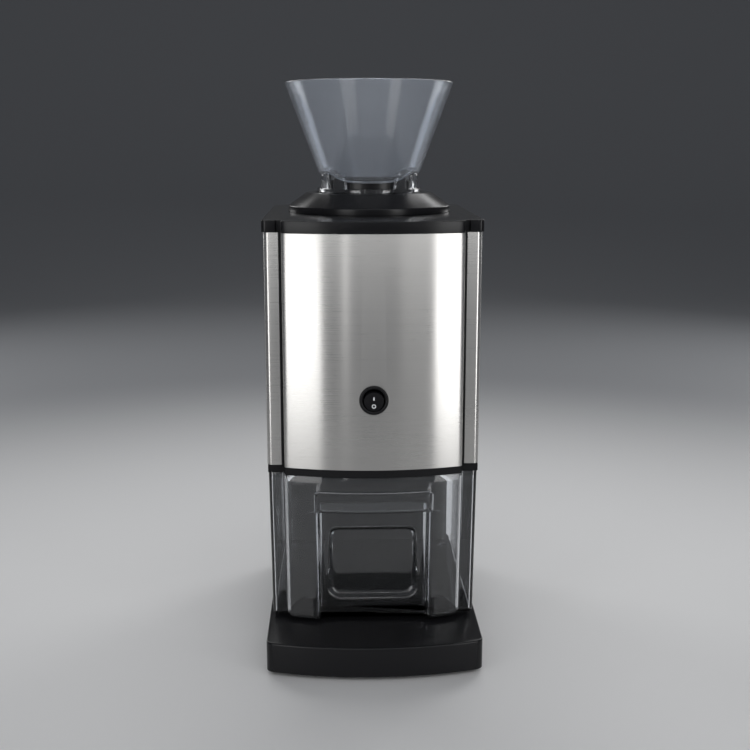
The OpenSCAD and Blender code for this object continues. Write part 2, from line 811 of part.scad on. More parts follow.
module hopper() {
    seat_z = collar_top + gap;
    ring_r = 44.4;
    ring_h = 3.3;
    bowl_z = seat_z + 16.8;
    rim_z = total_h;
    spigot_z = drum_top + neck_floor_t + spigot_clear;
    lug_half = 4.5;
    lug_h = 11.5;
    throat_r = spigot_r - 2.2;
    color("#d9e6ee", 0.35) {
        at_crusher() rotate_extrude() polygon([
            [throat_r, spigot_z], [spigot_r, spigot_z], [spigot_r, seat_z],
            [ring_r, seat_z], [ring_r, seat_z + ring_h], [spigot_r - 0.6, seat_z + ring_h],
            [spigot_r - 0.6, seat_z + 9], [spigot_r + 0.6, bowl_z - 4.5], [neck_r, bowl_z],
            [rim_r, rim_z], [rim_r - hopper_t, rim_z],
            [neck_r - hopper_t, bowl_z + 0.8], [throat_r, bowl_z - 4.5]
        ]);
        at_crusher() for (side = [-1, 1], turn = [37, 62, 118, 143])
            rotate([0, 0, -90 + side * turn]) translate([0, 0, seat_z + ring_h - e])
                intersection() {
                    span([spigot_r - 1.2, -lug_half, 0], [ring_r, lug_half, lug_h]);
                    cylinder(r = ring_r - 0.2, h = lug_h);
                }
    }
}

base_shell();
base_bottom_plate();
rubber_feet();
base_screws();
rear_column();
back_cover();
cord_gland();
chassis_tray();
front_panel();
left_side_panel();
right_side_panel();
top_cover();
hopper_collar();
crusher_drum();
fixed_blades();
shaft_seal();
ice_chute();
gearbox_housing();
gearbox_cover();
shaft_bushes();
idler_axle();
idler_clip();
motor_can();
motor_end_cap();
field_stack();
motor_bushes();
motor_screws();
drum_screws();
switch_housing();
switch_terminals();
container_interlock();
hopper_interlock();
case_screws();
crusher_shaft();
rotor_blades();
rotor_nut();
output_gear();
idler_gear();
motor_shaft();
motor_pinion();
armature();
cooling_fan();
hopper();
ice_container();
switch_rocker();
container_plunger();
hopper_plunger();
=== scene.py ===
# %% [markdown]
# An electric ice crusher. The frame, the moving parts and the sizes come from the packed
# model; this script makes the outside as it looks: the clear hopper and container, the
# brushed steel, the black plastic, and every edge that catches light.

# %% Load the frame
import bpy
import bmesh
import math
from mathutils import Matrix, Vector


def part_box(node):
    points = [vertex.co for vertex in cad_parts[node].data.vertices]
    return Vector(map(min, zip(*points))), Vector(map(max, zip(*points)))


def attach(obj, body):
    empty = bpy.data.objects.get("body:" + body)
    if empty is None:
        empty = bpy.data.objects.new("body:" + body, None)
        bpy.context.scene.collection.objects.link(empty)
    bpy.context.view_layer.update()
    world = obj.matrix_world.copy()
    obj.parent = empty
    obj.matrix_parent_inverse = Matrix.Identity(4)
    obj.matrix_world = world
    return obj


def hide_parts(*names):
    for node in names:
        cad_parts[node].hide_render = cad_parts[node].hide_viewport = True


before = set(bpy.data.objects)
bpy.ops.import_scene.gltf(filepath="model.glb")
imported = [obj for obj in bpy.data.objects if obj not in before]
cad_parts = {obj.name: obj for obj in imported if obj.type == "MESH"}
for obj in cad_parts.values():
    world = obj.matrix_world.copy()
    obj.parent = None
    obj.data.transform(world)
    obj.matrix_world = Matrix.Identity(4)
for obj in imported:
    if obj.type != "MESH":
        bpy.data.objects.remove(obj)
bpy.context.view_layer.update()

# %% [markdown]
# The camera stands a little under the hopper's rim, nearly straight in front, and looks
# slightly down. It is made first, so that everything after it can be judged in its view.

# %% Camera
CAMERA_PLACE = (-0.0270, -0.9765, 0.4137)
LOOK_DOWN = math.radians(11.46)
LOOK_RIGHT = math.radians(1.81)
LENS = 56.07

bpy.ops.object.camera_add(
    location=CAMERA_PLACE, rotation=(math.pi / 2 - LOOK_DOWN, 0, -LOOK_RIGHT))
camera = bpy.context.object
camera.data.lens = LENS
camera.data.sensor_width = 36
bpy.context.scene.camera = camera

# %% [markdown]
# Every piece starts as a primitive. An operator acts on all that is selected, so each
# helper deselects everything first. A finished piece keeps its object at the origin,
# with its place in its mesh.

# %% Helpers: start, settle and shape a piece
MM = 0.001
NEAR = 0.1 * MM


def only(piece):
    """Leaves edit mode and selects this piece alone, or nothing."""
    if bpy.context.object and bpy.context.object.mode != "OBJECT":
        bpy.ops.object.mode_set(mode="OBJECT")
    bpy.ops.object.select_all(action="DESELECT")
    if piece:
        bpy.context.view_layer.objects.active = piece
        piece.select_set(True)


def settle(name):
    """Names the active piece and puts its place into its mesh."""
    piece = bpy.context.object
    piece.name = piece.data.name = name
    only(piece)
    bpy.ops.object.transform_apply(location=True, rotation=True, scale=True)
    return piece


def shape(piece, kind, **settings):
    """Adds a modifier with these settings and applies it."""
    only(piece)
    bpy.ops.object.modifier_add(type=kind)
    modifier = piece.modifiers[-1]
    for key, value in settings.items():
        setattr(modifier, key, value)
    bpy.ops.object.modifier_apply(modifier=modifier.name)


def combine(piece, tool, how):
    """Applies a boolean with the tool, which is used up."""
    shape(piece, "BOOLEAN", object=tool, operation=how, solver="EXACT")
    bpy.data.objects.remove(tool)
    return piece


def edit(piece, mode="FACE"):
    """Opens the piece's mesh with nothing selected."""
    only(piece)
    bpy.ops.object.mode_set(mode="EDIT")
    bpy.ops.mesh.select_mode(type=mode)
    bpy.ops.mesh.select_all(action="DESELECT")
    return bmesh.from_edit_mesh(piece.data)


def clean(piece, merge=0.00001):
    """Joins points that meet and turns all faces outwards."""
    edit(piece, "VERT")
    bpy.ops.mesh.select_all(action="SELECT")
    bpy.ops.mesh.remove_doubles(threshold=merge)
    bpy.ops.mesh.normals_make_consistent(inside=False)
    bpy.ops.object.mode_set(mode="OBJECT")


def round_edges(piece, width, wanted, segments=3):
    """Bevels the edges whose middle point, direction and face angle are wanted."""
    mesh = edit(piece, "EDGE")
    for edge in mesh.edges:
        if len(edge.link_faces) != 2 or edge.calc_face_angle(0) < math.radians(20):
            continue
        a, b = edge.verts[0].co, edge.verts[1].co
        if wanted((a + b) / 2, (b - a).normalized()):
            edge.select = True
    bmesh.update_edit_mesh(piece.data)
    bpy.ops.mesh.bevel(offset=width, segments=segments, profile=0.5, clamp_overlap=True)
    bpy.ops.object.mode_set(mode="OBJECT")


def smooth(piece, angle=35):
    only(piece)
    bpy.ops.object.shade_smooth_by_angle(angle=math.radians(angle))


# %% [markdown]
# Two ways of drawing cover nearly all of the machine. An outline in plan is raised into a
# block, as a moulding or a folded sheet would be. A profile is spun about an upright
# axis, as a turned or blown piece would be. Both start as a circle whose points are laid
# on the drawing.

# %% Helpers: raised outlines and spun profiles


def rounded(points, steps=6):
    """Points (x, y, radius) become a smooth closed line with an arc at each corner."""
    line = []
    for i, (x, y, radius) in enumerate(points):
        corner = Vector((x, y))
        before = Vector(points[i - 1][:2]) - corner
        after = Vector(points[(i + 1) % len(points)][:2]) - corner
        if radius <= 0:
            line.append(corner)
            continue
        half = before.angle(after) / 2
        reach = min(radius / math.tan(half), before.length * 0.49, after.length * 0.49)
        start = corner + before.normalized() * reach
        end = corner + after.normalized() * reach
        middle = corner + (before.normalized() + after.normalized()).normalized() \
            * reach / math.cos(half)
        first, last = start - middle, end - middle
        for k in range(steps + 1):
            turn = first.lerp(last, k / steps)
            line.append(middle + turn.normalized() * first.length)
    return line


def rounded_open(points, steps=6):
    """As rounded, for a line whose two ends stay where they are."""
    ends = [(*points[0][:2], 0)] + list(points[1:-1]) + [(*points[-1][:2], 0)]
    return rounded(ends, steps)


def lay_on(line, place):
    for vertex, point in zip(bpy.context.object.data.vertices, line):
        vertex.co = place(point)


def plate(name, line, place, out):
    """A flat outline put in its plane by place(point), given its thickness along out."""
    only(None)
    bpy.ops.mesh.primitive_circle_add(vertices=len(line), fill_type="NGON")
    lay_on(line, place)
    piece = settle(name)
    edit(piece)
    bpy.ops.mesh.select_all(action="SELECT")
    bpy.ops.mesh.extrude_region_move(TRANSFORM_OT_translate={"value": tuple(out)})
    bpy.ops.mesh.select_all(action="SELECT")
    bpy.ops.mesh.normals_make_consistent(inside=False)
    bpy.ops.object.mode_set(mode="OBJECT")
    return piece


def raised(name, line, low, high):
    """A block with this outline in plan, from low to high."""
    return plate(name, line, lambda p: (p[0], p[1], low), (0, 0, high - low))


def mirrored(line):
    """A right half from the middle outwards, with its left half put before it."""
    return [(-x, y, radius) for x, y, radius in reversed(line[1:])] + line


def spun(name, line, centre, steps=128, axis="Z"):
    """A closed profile of (radius, height) points, spun about an axis through centre."""
    only(None)
    bpy.ops.mesh.primitive_circle_add(vertices=len(line), fill_type="NOTHING")
    centre = Vector(centre)
    if axis == "Z":
        lay_on(line, lambda p: centre + Vector((p[0], 0, p[1])))
    else:
        lay_on(line, lambda p: centre + Vector((p[0], p[1], 0)))
    piece = settle(name)
    edit(piece, "VERT")
    bpy.ops.mesh.select_all(action="SELECT")
    bpy.ops.mesh.spin(steps=steps, angle=2 * math.pi, center=centre,
                      axis=(0, 0, 1) if axis == "Z" else (0, 1, 0))
    bpy.ops.object.mode_set(mode="OBJECT")
    clean(piece)
    return piece


def lofted(name, loops):
    """A tube through closed loops that all have the same number of points."""
    only(None)
    around = len(loops[0])
    bpy.ops.mesh.primitive_grid_add(x_subdivisions=around, y_subdivisions=len(loops) - 1)
    for vertex in bpy.context.object.data.vertices:
        row, place = divmod(vertex.index, around + 1)
        vertex.co = loops[row][place % around]
    piece = settle(name)
    clean(piece, 0.000002)
    return piece


def rod(name, radius, start, end, sides=48):
    """A round bar from start to end."""
    only(None)
    start, end = Vector(start), Vector(end)
    way = end - start
    bpy.ops.mesh.primitive_cylinder_add(vertices=sides, radius=radius, depth=way.length,
                                        location=(start + end) / 2)
    bpy.context.object.rotation_mode = "QUATERNION"
    bpy.context.object.rotation_quaternion = way.to_track_quat("Z", "Y")
    return settle(name)


def gather(name, pieces):
    """Joins several pieces into one with this name."""
    only(pieces[0])
    for piece in pieces[1:]:
        piece.select_set(True)
    bpy.ops.object.join()
    return settle(name)


# %% [markdown]
# A finish that many materials share is a node group: it turns the place on the piece into
# a height for the bump and a value for the roughness. The shader stays in each material.

# %% Shared effects: node groups


def new_group(name, inputs, outputs):
    tree = bpy.data.node_groups.new(name, "ShaderNodeTree")
    for title, value in inputs:
        kind = "NodeSocketVector" if isinstance(value, tuple) else "NodeSocketFloat"
        socket = tree.interface.new_socket(name=title, in_out="INPUT", socket_type=kind)
        socket.default_value = value
    for title in outputs:
        tree.interface.new_socket(name=title, in_out="OUTPUT",
                                  socket_type="NodeSocketFloat")
    return tree, tree.nodes.new("NodeGroupInput"), tree.nodes.new("NodeGroupOutput")


def math_node(tree, how, a, b):
    node = tree.nodes.new("ShaderNodeMath")
    node.operation = how
    for socket, value in zip(node.inputs, (a, b)):
        if isinstance(value, (int, float)):
            socket.default_value = value
        else:
            tree.links.new(value, socket)
    return node.outputs[0]


def noise_node(tree, vector, scale, detail=2.0, rough=0.5):
    node = tree.nodes.new("ShaderNodeTexNoise")
    node.inputs["Detail"].default_value = detail
    node.inputs["Roughness"].default_value = rough
    tree.links.new(vector, node.inputs["Vector"])
    if isinstance(scale, (int, float)):
        node.inputs["Scale"].default_value = scale
    else:
        tree.links.new(scale, node.inputs["Scale"])
    return node.outputs["Fac"]


def build_moulded_grain():
    """Fine even grain of a spark-eroded mould, with broad soft handling marks."""
    tree, given, made = new_group(
        "moulded_grain", [("Scale", 1500.0), ("Depth", 1.0), ("Marks", 0.1)],
        ["Height", "Roughness"])
    place = tree.nodes.new("ShaderNodeTexCoord").outputs["Object"]
    fine = noise_node(tree, place, given.outputs["Scale"], 3.0, 0.6)
    tree.links.new(math_node(tree, "MULTIPLY", fine, given.outputs["Depth"]),
                   made.inputs["Height"])
    broad = noise_node(tree, place, 28.0, 4.0, 0.65)
    spread = math_node(tree, "SUBTRACT", broad, 0.5)
    tree.links.new(math_node(tree, "MULTIPLY", spread, given.outputs["Marks"]),
                   made.inputs["Roughness"])
    return tree


def build_brushed_lines():
    """Long fine scratches along one direction: Stretch is small along the lines."""
    tree, given, made = new_group(
        "brushed_lines", [("Stretch", (30.0, 30.0, 3000.0)), ("Depth", 1.0)],
        ["Height", "Tone", "Roughness"])
    place = tree.nodes.new("ShaderNodeTexCoord").outputs["Object"]
    scaled = tree.nodes.new("ShaderNodeVectorMath")
    scaled.operation = "MULTIPLY"
    tree.links.new(place, scaled.inputs[0])
    tree.links.new(given.outputs["Stretch"], scaled.inputs[1])
    lines = noise_node(tree, scaled.outputs[0], 1.0, 4.0, 0.7)
    wide = noise_node(tree, scaled.outputs[0], 0.22, 2.0, 0.5)
    both = math_node(tree, "ADD", math_node(tree, "MULTIPLY", lines, 0.65),
                     math_node(tree, "MULTIPLY", wide, 0.35))
    tree.links.new(math_node(tree, "MULTIPLY", both, given.outputs["Depth"]),
                   made.inputs["Height"])
    tree.links.new(both, made.inputs["Tone"])
    marks = noise_node(tree, place, 14.0, 4.0, 0.6)
    tree.links.new(math_node(tree, "ADD", math_node(tree, "MULTIPLY", both, 0.6),
                             math_node(tree, "MULTIPLY", marks, 0.4)),
                   made.inputs["Roughness"])
    return tree


moulded_grain = build_moulded_grain()
brushed_lines = build_brushed_lines()

# %% [markdown]
# Each material is a Principled shader with its own constants. Where a value changes over
# the surface, it comes from one of the two groups through a colour ramp or a range.

# %% Materials: the shader and its links


class Finish:
    """One material under construction: its shader, its tree and the links into it."""

    def __init__(self, name, colour, metallic=0.0, roughness=0.5, **constants):
        self.material = bpy.data.materials.new(name)
        self.material.use_nodes = True
        self.tree = self.material.node_tree
        self.shader = self.tree.nodes["Principled BSDF"]
        self.set("Base Color", (*colour, 1.0))
        self.set("Metallic", metallic)
        self.set("Roughness", roughness)
        for title, value in constants.items():
            self.set(title.replace("_", " "), value)

    def set(self, title, value):
        self.shader.inputs[title].default_value = value

    def add(self, tree, **values):
        node = self.tree.nodes.new("ShaderNodeGroup")
        node.node_tree = tree
        for title, value in values.items():
            node.inputs[title].default_value = value
        return node

    def bump(self, height, strength, distance):
        node = self.tree.nodes.new("ShaderNodeBump")
        node.inputs["Strength"].default_value = strength
        node.inputs["Distance"].default_value = distance
        self.tree.links.new(height, node.inputs["Height"])
        self.tree.links.new(node.outputs["Normal"], self.shader.inputs["Normal"])

    def spread(self, value, title, low, high, start=0.0, end=1.0):
        node = self.tree.nodes.new("ShaderNodeMapRange")
        node.inputs["From Min"].default_value = start
        node.inputs["From Max"].default_value = end
        node.inputs["To Min"].default_value = low
        node.inputs["To Max"].default_value = high
        self.tree.links.new(value, node.inputs["Value"])
        self.tree.links.new(node.outputs["Result"], self.shader.inputs[title])

    def tone(self, value, dark, light, start=0.3, end=0.7):
        node = self.tree.nodes.new("ShaderNodeValToRGB")
        node.color_ramp.elements[0].position = start
        node.color_ramp.elements[0].color = (*dark, 1.0)
        node.color_ramp.elements[1].position = end
        node.color_ramp.elements[1].color = (*light, 1.0)
        self.tree.links.new(value, node.inputs["Fac"])
        self.tree.links.new(node.outputs["Color"], self.shader.inputs["Base Color"])


def moulded(name, colour, roughness, grain=1500.0, strength=0.12, marks=0.12, **constants):
    finish = Finish(name, colour, 0.0, roughness, **constants)
    group = finish.add(moulded_grain, Scale=grain, Depth=1.0, Marks=marks)
    finish.bump(group.outputs["Height"], strength, 0.00006)
    finish.spread(group.outputs["Roughness"], "Roughness",
                  roughness - marks / 2, roughness + marks / 2, -marks / 2, marks / 2)
    return finish.material


def brushed(name, dark, light, stretch, roughness, strength=0.25, anisotropic=0.0):
    """Metal with fine lines. The upright tangent spreads highlights up and down."""
    finish = Finish(name, light, 1.0, roughness, Anisotropic=anisotropic)
    upright = finish.tree.nodes.new("ShaderNodeCombineXYZ")
    upright.inputs["Z"].default_value = 1.0
    finish.tree.links.new(upright.outputs["Vector"], finish.shader.inputs["Tangent"])
    group = finish.add(brushed_lines, Stretch=stretch, Depth=1.0)
    finish.bump(group.outputs["Height"], strength, 0.00004)
    finish.tone(group.outputs["Tone"], dark, light)
    finish.spread(group.outputs["Roughness"], "Roughness",
                  roughness - 0.03, roughness + 0.04, 0.3, 0.7)
    return finish.material


def clear(name, colour, roughness, ior, clarity):
    """Clear plastic; what clarity leaves out of 1 is a milky veil."""
    finish = Finish(name, colour, 0.0, roughness, Transmission_Weight=clarity, IOR=ior)
    group = finish.add(moulded_grain, Scale=60.0, Depth=1.0, Marks=0.05)
    finish.bump(group.outputs["Height"], 0.05, 0.0003)
    return finish.material


# %% The finishes of this machine
black_satin = moulded("black_satin_plastic", (0.007, 0.007, 0.008), 0.25, 1400.0, 0.08,
                      0.08, Specular_IOR_Level=0.24)
black_inner = moulded("black_inner_plastic", (0.008, 0.008, 0.009), 0.55, 1200.0, 0.15,
                      0.1, Specular_IOR_Level=0.12)
black_under = moulded("black_underside_plastic", (0.014, 0.014, 0.015), 0.55, 900.0, 0.3,
                      0.12, Specular_IOR_Level=0.3)
grey_plastic = moulded("grey_moulded_plastic", (0.06, 0.062, 0.066), 0.45, 1200.0, 0.2)
switch_gloss = moulded("switch_gloss_plastic", (0.008, 0.008, 0.009), 0.24, 900.0, 0.03,
                       0.06, Specular_IOR_Level=0.16)
rubber = moulded("soft_black_rubber", (0.018, 0.018, 0.018), 0.78, 1800.0, 0.5)
gear_nylon = moulded("natural_gear_nylon", (0.62, 0.58, 0.47), 0.42, 700.0, 0.1)
plunger_red = moulded("red_plunger_plastic", (0.42, 0.03, 0.02), 0.35, 900.0, 0.05)
white_mark = moulded("white_printed_mark", (0.75, 0.76, 0.78), 0.5, 2500.0, 0.1, 0.05)
steel_across = brushed("steel_brushed_across", (0.57, 0.560, 0.542), (0.61, 0.600, 0.582),
                       (20.0, 20.0, 7000.0), 0.28, 0.015, 1.0)
blade_steel = brushed("ground_blade_steel", (0.55, 0.55, 0.55), (0.75, 0.75, 0.75),
                      (900.0, 60.0, 60.0), 0.2, 0.2)
cast_alloy = moulded("cast_alloy", (0.52, 0.53, 0.54), 0.42, 500.0, 0.4, 0.2, Metallic=1.0)
zinc = moulded("zinc_plate", (0.62, 0.63, 0.62), 0.28, 800.0, 0.1, 0.1, Metallic=1.0)
bronze = moulded("sintered_bronze", (0.48, 0.30, 0.13), 0.38, 1500.0, 0.3, 0.1,
                 Metallic=1.0)
motor_steel = moulded("motor_steel", (0.2, 0.205, 0.21), 0.4, 600.0, 0.2, 0.15,
                      Metallic=1.0)
copper_winding = moulded("copper_winding", (0.45, 0.18, 0.07), 0.35, 1800.0, 0.4, 0.1,
                         Metallic=1.0)
clear_plastic = clear("clear_plastic", (0.945, 0.962, 0.985), 0.03, 1.52, 0.992)
hopper_plastic = clear("hopper_clear_plastic", (0.90, 0.94, 1.0), 0.08, 1.5, 0.93)

# %% [markdown]
# A finished piece gets its material, stands for its CAD nodes and rides on their body.
# Every CAD node that stays also gets one of the finishes above.

# %% Helpers: hand a piece over


def dress(piece, material):
    piece.data.materials.clear()
    piece.data.materials.append(material)


def hand_over(piece, body, slot, material, *nodes):
    """Dresses a piece, lets it stand for CAD nodes, if any, and puts it on its body."""
    dress(piece, material)
    if nodes:
        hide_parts(*nodes)
    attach(piece, body)
    print(piece.name, "rides on", body, "with", len(piece.data.polygons), "faces")


# %% Sizes read from the frame
front_low, front_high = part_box("front_panel")
side_low, side_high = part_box("right_side_panel")
cover_low, cover_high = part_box("top_cover")
base_low, base_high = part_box("base_shell")
collar_low, collar_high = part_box("hopper_collar")
hopper_low, hopper_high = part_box("hopper")
ice_low, ice_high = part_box("ice_container")
switch_low, switch_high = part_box("switch_housing")

AXIS_Y = (hopper_low.y + hopper_high.y) / 2
FRONT_R = 0.222
corner_y = side_low.y
bulge_y = front_low.y
front_half = front_high.x


def front_at(x, front, radius=FRONT_R):
    """How far back the curved front is at x, when its middle is at front."""
    return front + radius - math.sqrt(radius * radius - x * x)


def bulge(half, front, count=24, radius=FRONT_R):
    """The right half of the curved front, from the middle to x = half."""
    places = [half * k / count for k in range(count + 1)]
    return [(x, front_at(x, front, radius), 0) for x in places]


# %% [markdown]
# The front panel is a steel sheet bent to a shallow curve, with its ends folded back. Its
# outline is the outer curve, the folded end and the inner curve, raised to its height.
# The round hole for the switch is bored through it.

# %% Front panel
SHEET = 0.8 * MM
FOLD_R = 4.5 * MM
FOLD_START = 0.9
FOLD_BACK = 0.2 * MM
SWITCH_BORE_R = 10 * MM
BORE_REACH = 10 * MM
switch_z = (switch_low.z + switch_high.z) / 2
fold_y = front_at(front_half, bulge_y) + FOLD_BACK


def sheet_line(inset):
    """The right half of one face of the folded sheet, from the middle to its end."""
    half = front_half - inset
    line = bulge(half - FOLD_R * FOLD_START, bulge_y + inset)
    return line + [(half, fold_y + inset, FOLD_R - inset), (half, front_high.y, 0)]


def sheet_edge(p, d):
    """True for the sheet's upper and lower edges, and false round the bore."""
    return abs(d.z) < 0.5 and abs(p.z - switch_z) > 2 * BORE_REACH


sheet = rounded(mirrored(sheet_line(0)) + mirrored(sheet_line(SHEET))[::-1])
panel = raised("front_panel_steel", sheet, front_low.z, front_high.z)
combine(panel, rod("switch_bore", SWITCH_BORE_R, (0, bulge_y - BORE_REACH, switch_z),
                   (0, bulge_y + BORE_REACH, switch_z)), "DIFFERENCE")
round_edges(panel, 0.25 * MM, sheet_edge, 2)
smooth(panel)
hand_over(panel, "housing", "brushed_steel", steel_across, "front_panel")

# %% [markdown]
# The side panels wrap round the housing's corners in a tight bend and show as a narrow
# strip beside the front. The right one is drawn once and mirrored to the left.

# %% Side panels
BEND_R = 4 * MM
HEM = SHEET * 1.6


def side_panel(name, side, node):
    """One folded side sheet: side is 1 or -1."""
    strip = side_low.x
    x, y = side_high.x, corner_y
    line = [(strip, y + HEM, 0), (strip, y, 0.5 * MM), (x, y, BEND_R),
            (x, side_high.y, 0), (x - SHEET, side_high.y, 0),
            (x - SHEET, y + SHEET, BEND_R - SHEET), (strip + SHEET, y + SHEET, 0),
            (strip + SHEET, y + HEM, 0)]
    line = [(side * px, py) for px, py in rounded(line, 10)]
    piece = raised(name, line, side_low.z, side_high.z)
    round_edges(piece, 0.22 * MM, lambda p, d: abs(d.z) < 0.5, 2)
    smooth(piece)
    hand_over(piece, "housing", "brushed_steel", steel_across, node)


side_panel("right_panel_steel", 1, "right_side_panel")
side_panel("left_panel_steel", -1, "left_side_panel")

# %% [markdown]
# The top cover is a black moulding. Two blocks cover the side strips, a notch parts them
# from the curved middle, and the underside is hollow.

# %% Top cover
BLOCK = 11.2 * MM
NOTCH_DEPTH = 2 * MM
NOTCH_R = 0.6 * MM
COVER_CORNER = 3 * MM
COVER_BORE_R = 58 * MM
MOULDED_WALL = 3 * MM


def cover_line(inset):
    """The cover's outline, set in from its outer face."""
    half = cover_high.x - inset
    middle = front_half - inset
    front = cover_low.y + inset
    line = bulge(middle - COVER_CORNER, front)
    line += [(middle, front_at(middle, front) + 0.4 * MM, COVER_CORNER),
             (middle, corner_y + NOTCH_DEPTH + inset, NOTCH_R),
             (half - BLOCK + inset, corner_y + NOTCH_DEPTH + inset, NOTCH_R),
             (half - BLOCK + inset, corner_y + inset, 0.8 * MM),
             (half, corner_y + inset, 3.5 * MM), (half, cover_high.y - inset, 6 * MM)]
    return rounded(mirrored(line))


def hollow(piece, line, low, high):
    """Takes the inside of a moulding away from below, up to the wall under its top."""
    combine(piece, raised("hollow", line(MOULDED_WALL), low - MM, high - MOULDED_WALL),
            "DIFFERENCE")


cover = raised("top_cover_moulding", cover_line(0), cover_low.z, cover_high.z)
round_edges(cover, 1.1 * MM, lambda p, d: p.z > cover_high.z - NEAR, 4)
round_edges(cover, 0.3 * MM, lambda p, d: p.z < cover_low.z + NEAR, 2)
hollow(cover, cover_line, cover_low.z, cover_high.z)
combine(cover, rod("cover_bore", COVER_BORE_R, (0, AXIS_Y, cover_low.z - BORE_REACH),
                   (0, AXIS_Y, cover_high.z + BORE_REACH), 128), "DIFFERENCE")
smooth(cover)
hand_over(cover, "housing", "black_plastic", black_satin, "top_cover")

# %% [markdown]
# The collar is a shallow cone with a short upright edge under it. Inside it a well takes
# the hopper's spigot, and a neck ring stands up within the spigot. The profile is drawn
# with small arcs at its corners, because they carry the thin bright lines.

# %% Hopper collar
COLLAR_R = collar_high.x
COLLAR_TOP_R = 53.3 * MM
BORE_R = 42 * MM
COLLAR_H = 16.4 * MM
LIP = 5.4 * MM
LIP_UNDER = 1.6 * MM
COLLAR_GAP = 0.02 * MM
WELL_WALL = 2.5 * MM
WELL_FLOOR = 2 * MM
NECK_RING_R = 37.7 * MM
NECK_RING_T = 2.3 * MM
NECK_RING_H = 10 * MM
ring_z = cover_high.z
top_z = ring_z + COLLAR_H
neck_z = top_z + NECK_RING_H
collar_line = rounded([
    (NECK_RING_R - NECK_RING_T, collar_low.z, 0),
    (NECK_RING_R - NECK_RING_T, neck_z, 0.9 * MM),
    (NECK_RING_R, neck_z, 0.9 * MM),
    (NECK_RING_R, collar_low.z + WELL_FLOOR, 0.5 * MM),
    (BORE_R, collar_low.z + WELL_FLOOR, 0.5 * MM),
    (BORE_R, top_z, 0.8 * MM),
    (COLLAR_TOP_R, top_z, 2.0 * MM),
    (COLLAR_R, ring_z + LIP, 1.1 * MM),
    (COLLAR_R, ring_z + COLLAR_GAP, 0.4 * MM),
    (COLLAR_R - MOULDED_WALL, ring_z + COLLAR_GAP, 0),
    (COLLAR_R - MOULDED_WALL, ring_z + LIP - LIP_UNDER, 0),
    (COLLAR_TOP_R - 1 * MM, top_z - MOULDED_WALL, 0),
    (BORE_R + WELL_WALL, top_z - MOULDED_WALL, 0),
    (BORE_R + WELL_WALL, collar_low.z, 0)])
collar = spun("collar_moulding", collar_line, (0, AXIS_Y, 0), 160)
smooth(collar)
hand_over(collar, "housing", "black_plastic", black_satin, "hopper_collar")

# %% [markdown]
# The base is a black moulding with a convex nose and rounded corners. Its upper edge is
# softly rounded, and its underside is hollow behind the bottom plate.

# %% Base shell
NOSE_R = 280 * MM
BASE_CORNER = 14 * MM


def base_line(inset):
    """The base's outline, set in from its outer face."""
    half = base_high.x - inset
    front = base_low.y + inset
    line = bulge(half - BASE_CORNER * 0.8, front, 20, NOSE_R)
    line += [(half, front_at(half, front, NOSE_R), BASE_CORNER - inset),
             (half, base_high.y - inset, BASE_CORNER - inset)]
    return rounded(mirrored(line), 10)


base = raised("base_moulding", base_line(0), base_low.z, base_high.z)
round_edges(base, 1.4 * MM, lambda p, d: p.z > base_high.z - NEAR, 4)
hollow(base, base_line, base_low.z, base_high.z)
smooth(base)
hand_over(base, "housing", "black_plastic", black_satin, "base_shell")

# %% [markdown]
# The container is one clear moulding of even thickness: a curved front on two hollow
# pillars, a grip niche between them with a finger lip over it, and set-back corner
# strips. Its shape changes on the way up, so it is drawn as outlines in plan, one for
# each level, all with the same number of points. A grid primitive is laid on them. The
# outline's right half is drawn here; below the lip, its first points go round the niche.

# %% Ice container: one outline at one level
WALL = 2.6 * MM
FOOT = 1.2 * MM
NICHE_HALF = 43 * MM
NICHE_DEPTH = 29 * MM
NICHE_R = 5 * MM
CORNER_R = 5 * MM
LIP_STEP = 3.2 * MM
NICHE_HEAD = 31 * MM
BAND_H = 15.6 * MM
POCKET_HALF = 34.5 * MM
POCKET_GROWS = 3 * MM
POCKET_LOW = 11 * MM
POCKET_HIGH = 71.5 * MM
POCKET_DEPTH = 4.2 * MM
POCKET_FOOT = (11 * MM, 5.5 * MM)
POCKET_HEAD = (5 * MM, 2.5 * MM)
PILLAR_R = 3.4 * MM
STRIP_BACK = 2 * MM
STRIP_R = 3.6 * MM
REAR_R = 12 * MM
niche_z = ice_high.z - NICHE_HEAD
band_z = ice_high.z - BAND_H
floor_z = ice_low.z + FOOT
niche_y = ice_low.y + NICHE_DEPTH
pillar_half = front_half + 0.3 * MM


def step_up(value, start, end):
    """A smooth step from 0 at start to 1 at end."""
    t = min(1.0, max(0.0, (value - start) / (end - start)))
    return t * t * (3 - 2 * t)


def front_y(x):
    """The container's front at x."""
    return front_at(x, ice_low.y)


def panel_depth(x, z):
    """The shallow pocket with rounded corners in the niche's back wall."""
    half = POCKET_HALF + POCKET_GROWS * step_up(niche_z - z, 20 * MM, 85 * MM)
    low, high = ice_low.z + POCKET_LOW, ice_low.z + POCKET_HIGH
    radius, soft = POCKET_FOOT if z < (low + high) / 2 else POCKET_HEAD
    dx = abs(x) - (half - radius)
    dz = abs(z - (low + high) / 2) - ((high - low) / 2 - radius)
    outside = math.hypot(max(dx, 0), max(dz, 0)) + min(max(dx, dz), 0) - radius
    return POCKET_DEPTH * step_up(-outside, -0.2 * soft, 0.8 * soft)


def spaced(line, count):
    """Points at equal steps along a line."""
    reach = [0.0]
    for a, b in zip(line, line[1:]):
        reach.append(reach[-1] + (Vector(b) - Vector(a)).length)
    points, k = [], 0
    for i in range(count):
        want = reach[-1] * i / (count - 1)
        while k < len(line) - 2 and reach[k + 1] < want:
            k += 1
        part = (want - reach[k]) / max(reach[k + 1] - reach[k], 1e-9)
        points.append(Vector(line[k]).lerp(Vector(line[k + 1]), min(part, 1)))
    return points


